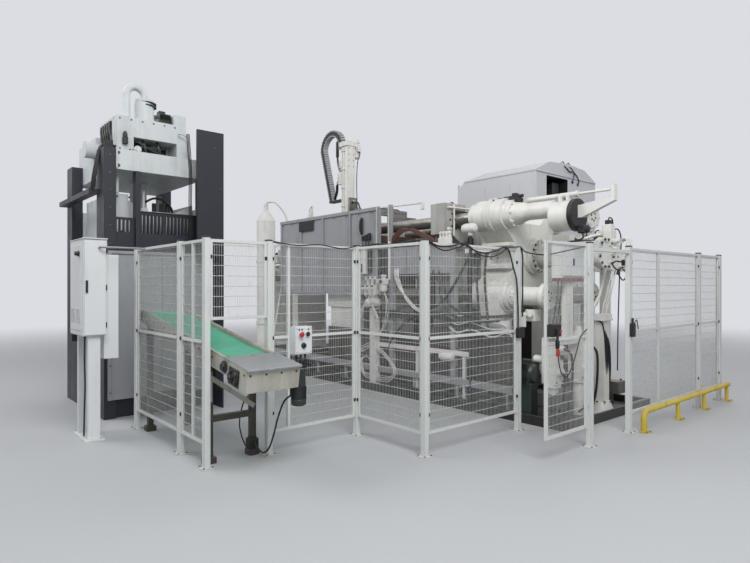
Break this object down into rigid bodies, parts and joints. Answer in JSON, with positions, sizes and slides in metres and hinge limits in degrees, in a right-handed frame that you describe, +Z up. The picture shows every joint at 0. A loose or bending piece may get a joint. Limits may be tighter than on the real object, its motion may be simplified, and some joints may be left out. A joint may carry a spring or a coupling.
{
  "type": "die casting machine",
  "caption": "Horizontal cold chamber die casting machine with a trim press, a sloping outfeed belt conveyor and a stepped mesh guard fence with a hinged gate.",
  "frame": {"origin": "on the floor, on the machine's centreline, 0.1 m in front of the fixed platen's die face, on the underside of the drip tray", "axes": "+X along the machine towards its closing end, +Y across it away from the operator's fence, +Z up"},
  "size_m": [9.545, 8.783, 4.76],
  "materials": {
    "tray_steel": "oily dark paint",
    "bed_paint": "worn grey paint, dusty",
    "machine_ivory": "gloss enamel, worn and stained",
    "tie_bar_steel": "ground steel with old grease",
    "platen_steel": "machined steel, dull",
    "die_steel": "tool steel, heat stained",
    "guard_sheet": "satin grey enamel",
    "chain_plastic": "dull grey links",
    "housing_paint": "satin light grey enamel",
    "fence_paint": "light grey enamel, chipped",
    "lock_plastic": "black housing",
    "box_paint": "light grey enamel",
    "rail_yellow": "yellow enamel, scuffed",
    "conveyor_paint": "beige enamel, rusting",
    "belt_rubber": "smooth green belt, dusty",
    "leg_paint": "dark brown paint",
    "motor_paint": "dark green enamel",
    "press_dark": "anthracite enamel",
    "press_light": "pale grey enamel, dusty",
    "bolster_steel": "machined steel, oily",
    "cabinet_paint": "white powder coat"
  },
  "bodies": {
    "cell": {"drip_tray": "tray_steel", "machine_base": "bed_paint", "fixed_platen": "machine_ivory", "rear_platen": "machine_ivory", "tie_bar_barrels": "machine_ivory", "tie_bar_upper_near": "tie_bar_steel", "tie_bar_upper_far": "tie_bar_steel", "tie_bar_lower_near": "tie_bar_steel", "tie_bar_lower_far": "tie_bar_steel", "tie_bar_puller": "machine_ivory", "closing_cylinder": "machine_ivory", "fixed_die_half": "die_steel", "shot_frame": "machine_ivory", "shot_cylinder": "platen_steel", "gas_bottles": "machine_ivory", "guard_near": "guard_sheet", "guard_far": "guard_sheet", "lower_guard_panel": "guard_sheet", "valve_post": "machine_ivory", "spray_mast": "machine_ivory", "energy_chain": "chain_plastic", "hydraulic_housing": "housing_paint", "housing_roof": "housing_paint", "terminal_cabinet": "machine_ivory", "valve_manifold": "machine_ivory", "pump_group": "machine_ivory", "fence_posts": "fence_paint", "fence_panel_1": "fence_paint", "fence_panel_2": "fence_paint", "fence_panel_3": "fence_paint", "fence_panel_4": "fence_paint", "fence_panel_5": "fence_paint", "fence_panel_6": "fence_paint", "fence_panel_7": "fence_paint", "fence_panel_8": "fence_paint", "operator_box": "box_paint", "guard_rail": "rail_yellow", "conveyor_frame": "conveyor_paint", "conveyor_belt": "belt_rubber", "conveyor_legs": "leg_paint", "conveyor_motor": "motor_paint", "press_frame": "press_dark", "press_crown": "press_light", "press_bolster": "bolster_steel", "press_cover": "guard_sheet", "press_side_panel": "press_dark", "press_hydraulic_unit": "press_light", "press_filter_pipe": "press_light", "control_cabinet": "cabinet_paint"},
    "moving_platen": {"moving_platen": "platen_steel", "moving_die_half": "die_steel", "closing_rod": "tie_bar_steel"},
    "gate": {"gate_leaf": "fence_paint", "gate_lock": "lock_plastic"},
    "spray_carriage": {"spray_carriage": "platen_steel", "spray_head": "platen_steel"},
    "press_slide": {"press_slide": "press_light"},
    "press_door": {"press_door": "press_dark"}
  },
  "joints": [
    {"name": "platen_close", "type": "slide", "parent": "cell", "child": "moving_platen", "axis": [-1, 0, 0], "range_m": [0, 1.195]},
    {"name": "gate_swing", "type": "hinge", "parent": "cell", "child": "gate", "pos_m": [4.81, -1.51, 0], "axis": [0, 0, 1], "range_deg": [-90, 0]},
    {"name": "spray_raise", "type": "slide", "parent": "cell", "child": "spray_carriage", "axis": [0, 0, 1], "range_m": [0, 0.45]},
    {"name": "press_close", "type": "slide", "parent": "cell", "child": "press_slide", "axis": [0, 0, -1], "range_m": [0, 0.6]},
    {"name": "press_door_lift", "type": "slide", "parent": "cell", "child": "press_door", "axis": [0, 0, 1], "range_m": [0, 0.45]}
  ]
}
